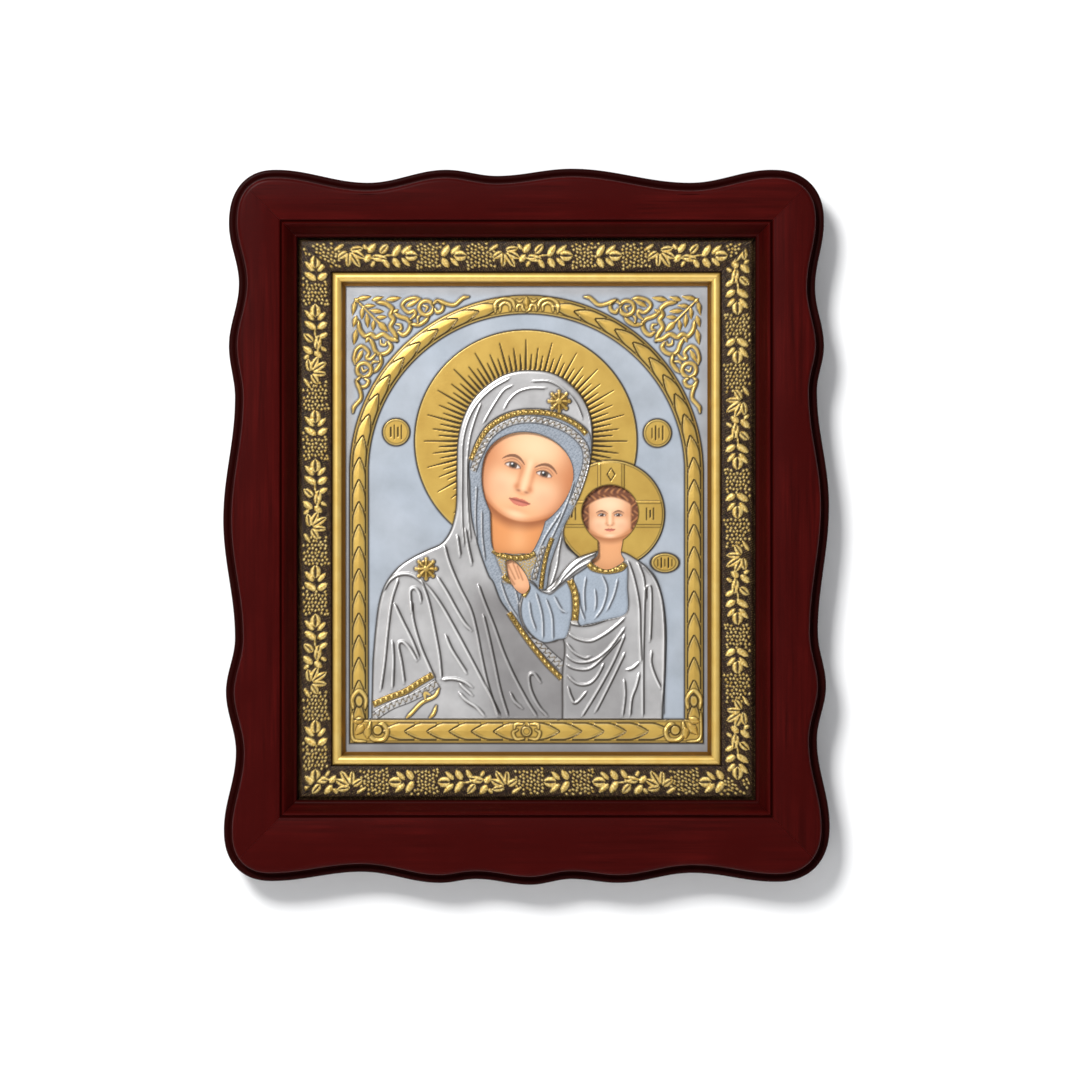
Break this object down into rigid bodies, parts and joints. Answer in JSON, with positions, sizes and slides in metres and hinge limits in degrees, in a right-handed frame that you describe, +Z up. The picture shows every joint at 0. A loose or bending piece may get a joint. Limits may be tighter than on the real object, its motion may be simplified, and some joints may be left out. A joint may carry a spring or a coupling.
{
  "type": "framed icon panel",
  "caption": "Wall-hung icon panel: scalloped lacquered wooden frame, ornamented moulding and gilt slip around an embossed metal cover over painted faces of a mother and child.",
  "frame": {"origin": "on the flat back of the top rail, midway along it, where the panel is hung on the wall", "axes": "+Z up, +X to the right seen from the front, +Y back into the wall; the picture faces -Y"},
  "size_m": [0.291, 0.028, 0.3436],
  "materials": {
    "mahogany_lacquer": "dark red-brown lacquer, satin to gloss",
    "antique_bronze": "stippled dark bronze ground with raised gold leaves",
    "gilt": "bright gilding",
    "stamped_metal": "embossed, silver and gold toned with a pale blue ground",
    "painted_board": "matt painted flesh tones, plain wood behind"
  },
  "bodies": {
    "root": {"frame_rail_top": "mahogany_lacquer", "frame_rail_right": "mahogany_lacquer", "frame_rail_bottom": "mahogany_lacquer", "frame_rail_left": "mahogany_lacquer", "moulding_top": "antique_bronze", "moulding_right": "antique_bronze", "moulding_bottom": "antique_bronze", "moulding_left": "antique_bronze", "slip_top": "gilt", "slip_right": "gilt", "slip_bottom": "gilt", "slip_left": "gilt", "embossed_cover": "stamped_metal", "icon_board": "painted_board"}
  },
  "joints": []
}
